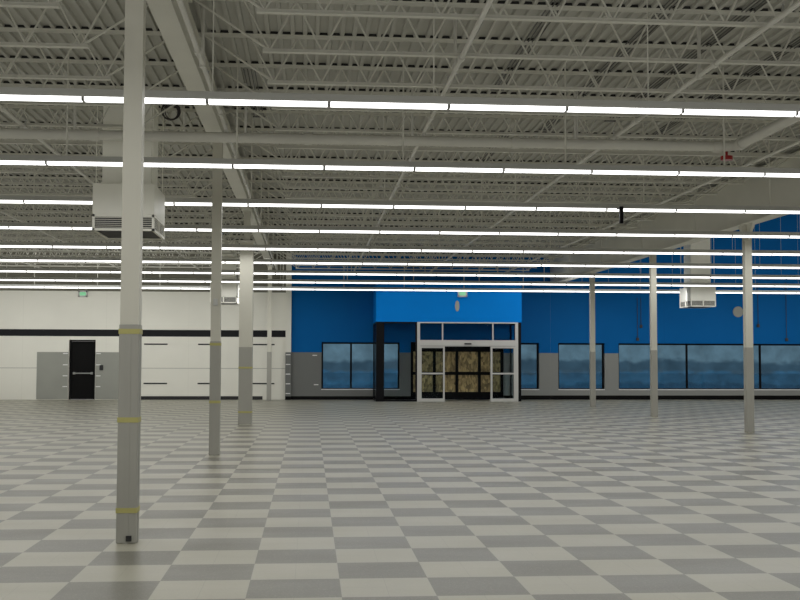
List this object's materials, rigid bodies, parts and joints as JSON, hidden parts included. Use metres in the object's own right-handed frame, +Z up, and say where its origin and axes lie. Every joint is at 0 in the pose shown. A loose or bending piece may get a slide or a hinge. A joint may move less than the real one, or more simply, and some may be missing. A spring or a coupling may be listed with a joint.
{
  "type": "clothing store hall, front bays",
  "caption": "Open front section of a single storey store hall: steel frame, joisted roof, strip lights, checker floor and a front wall with windows, exit door and sliding entrance.",
  "frame": {"origin": "middle of the floor slab's underside, the middle of the whole part's footprint", "axes": "+Z up, +Y towards the front wall, +X to the right as seen from the sales floor"},
  "size_m": [32.68, 36.56, 9.05],
  "materials": {
    "floor_tile": "vinyl composition tile in two greys, waxed",
    "white_paint": "off white wall paint, matt",
    "blue_paint": "blue wall paint over a grey dado, matt",
    "black_frame": "black coated aluminium",
    "white_frame": "white coated aluminium",
    "clear_glass": "clear float glass",
    "sill_white": "white sill board",
    "door_black": "black painted steel door",
    "steel_bar": "brushed steel push bar",
    "board": "oriented strand board",
    "cream_steel": "off white painted structural steel",
    "grey_cover": "grey painted column cover",
    "deck_steel": "off white painted steel deck",
    "membrane": "light grey roof membrane",
    "light": "white strip light with a lit lens",
    "pipe_paint": "off white painted pipe",
    "duct_paint": "off white painted sheet metal",
    "sign": "pale green lit sign panel, no lettering"
  },
  "bodies": {
    "hall": {"floor_slab": "floor_tile", "front_wall_white": "white_paint", "front_wall_over_exit": "white_paint", "pilaster": "white_paint", "front_wall_blue_left": "blue_paint", "front_wall_over_entrance": "blue_paint", "front_wall_blue_right": "blue_paint", "front_wall_high_bay": "blue_paint", "window_frames": "black_frame", "window_glass": "clear_glass", "window_sills": "sill_white", "exit_door_frame": "door_black", "vestibule_bulkhead": "blue_paint", "vestibule_front_frame": "black_frame", "vestibule_side_frames": "black_frame", "vestibule_glass": "clear_glass", "entrance_frame": "white_frame", "transom_glass": "clear_glass", "side_lites": "white_frame", "side_lite_glass": "clear_glass", "outer_entrance_frame": "black_frame", "entrance_boards": "board", "columns": "cream_steel", "girder_haunches": "cream_steel", "column_covers": "grey_cover", "column_boxing": "cream_steel", "girders": "cream_steel", "step_wall": "white_paint", "joists_left_bay": "cream_steel", "joists_middle_bay": "cream_steel", "joists_high_bay": "cream_steel", "roof_deck": "deck_steel", "roof_membrane": "membrane", "strip_light_rows": "light", "light_hangers": "cream_steel", "sprinkler_branches": "pipe_paint", "sprinkler_main": "pipe_paint", "sprinkler_elbow": "pipe_paint", "air_drops": "duct_paint", "exit_signs": "sign"},
    "exit_leaf": {"exit_door": "door_black", "exit_push_bar": "steel_bar"},
    "left_leaf": {"sliding_leaf_left": "white_frame", "sliding_leaf_left_glass": "clear_glass"},
    "right_leaf": {"sliding_leaf_right": "white_frame", "sliding_leaf_right_glass": "clear_glass"}
  },
  "joints": [
    {"name": "exit_door_hinge", "type": "hinge", "parent": "hall", "child": "exit_leaf", "pos_m": [-12.7925, 18.2707, 0.15], "axis": [0, 0, 1], "range_deg": [0, 95]},
    {"name": "left_leaf_slide", "type": "slide", "parent": "hall", "child": "left_leaf", "axis": [1, 0, 0], "range_m": [0, 0.842]},
    {"name": "right_leaf_slide", "type": "slide", "parent": "hall", "child": "right_leaf", "axis": [-1, 0, 0], "range_m": [0, 0.842]}
  ],
  "couplings": [
    {"joint": "right_leaf_slide", "follows": "left_leaf_slide", "ratio": 1}
  ]
}
